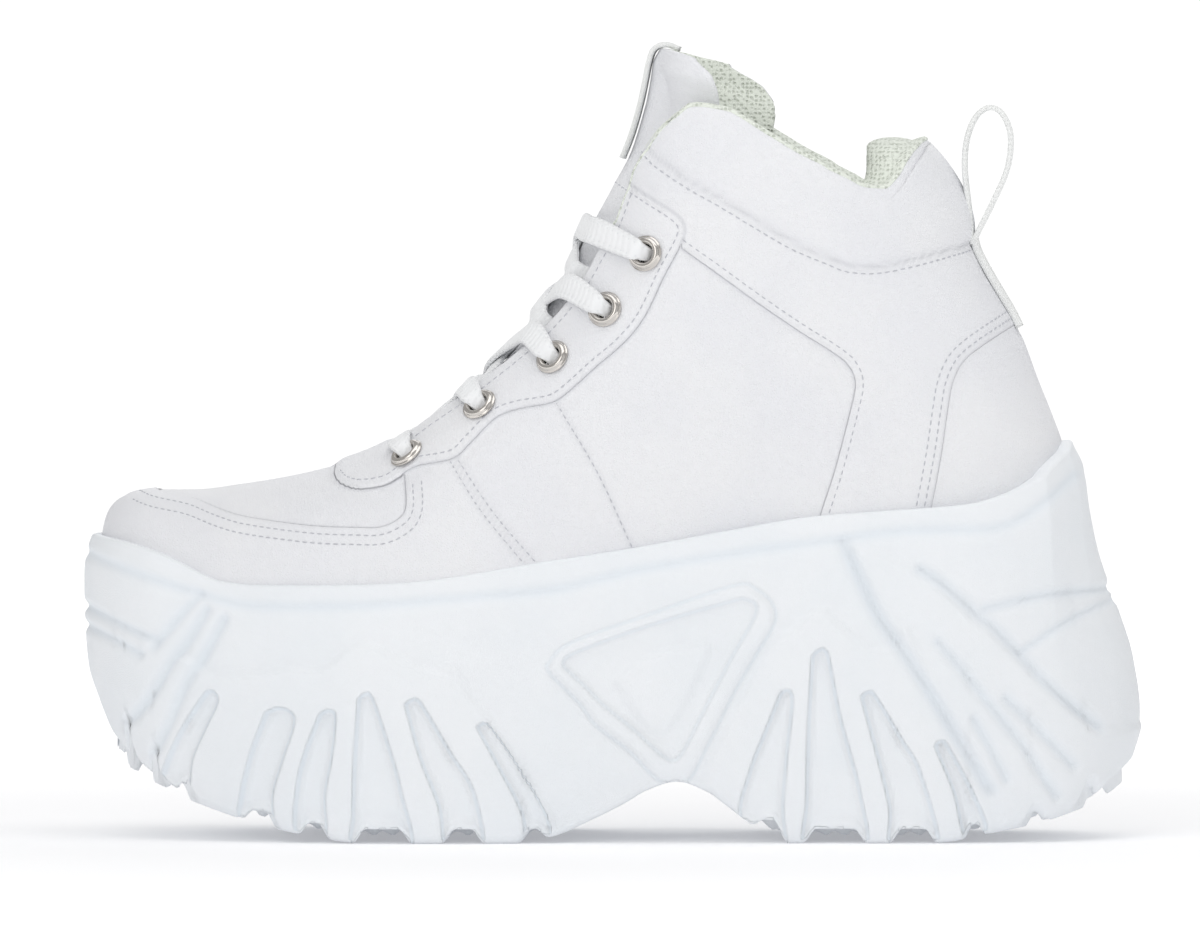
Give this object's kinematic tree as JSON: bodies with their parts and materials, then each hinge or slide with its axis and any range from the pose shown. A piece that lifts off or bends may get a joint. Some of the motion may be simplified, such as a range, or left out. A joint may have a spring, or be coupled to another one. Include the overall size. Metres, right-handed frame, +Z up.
{
  "type": "platform sneaker",
  "caption": "Ankle-high lace-up platform sneaker for the left foot: padded leather upper and tongue on a thick moulded sole with ribs and lugs.",
  "frame": {"origin": "on the floor, under the middle of the shoe's bounding box", "axes": "+X along the shoe towards the heel, +Y towards its inner (medial) side, +Z up"},
  "size_m": [0.2836, 0.1073, 0.2126],
  "materials": {
    "sole_rubber": "moulded, satin",
    "insole_cloth": "cloth",
    "upper_leather": "fine grain",
    "tongue_leather": "fine grain",
    "eyelet_metal": "polished",
    "lace_braid": "flat braid",
    "tape": "woven tape"
  },
  "bodies": {
    "root": {"sole": "sole_rubber", "insole": "insole_cloth", "upper": "upper_leather", "tongue": "tongue_leather", "eyelet_lateral_1": "eyelet_metal", "eyelet_lateral_2": "eyelet_metal", "eyelet_lateral_3": "eyelet_metal", "eyelet_lateral_4": "eyelet_metal", "eyelet_lateral_5": "eyelet_metal", "eyelet_medial_1": "eyelet_metal", "eyelet_medial_2": "eyelet_metal", "eyelet_medial_3": "eyelet_metal", "eyelet_medial_4": "eyelet_metal", "eyelet_medial_5": "eyelet_metal", "lace_bar": "lace_braid", "lace_crossing_1": "lace_braid", "lace_crossing_2": "lace_braid", "lace_crossing_3": "lace_braid", "lace_crossing_4": "lace_braid", "heel_pull_loop": "tape", "tongue_pull_tape": "tape"}
  },
  "joints": []
}
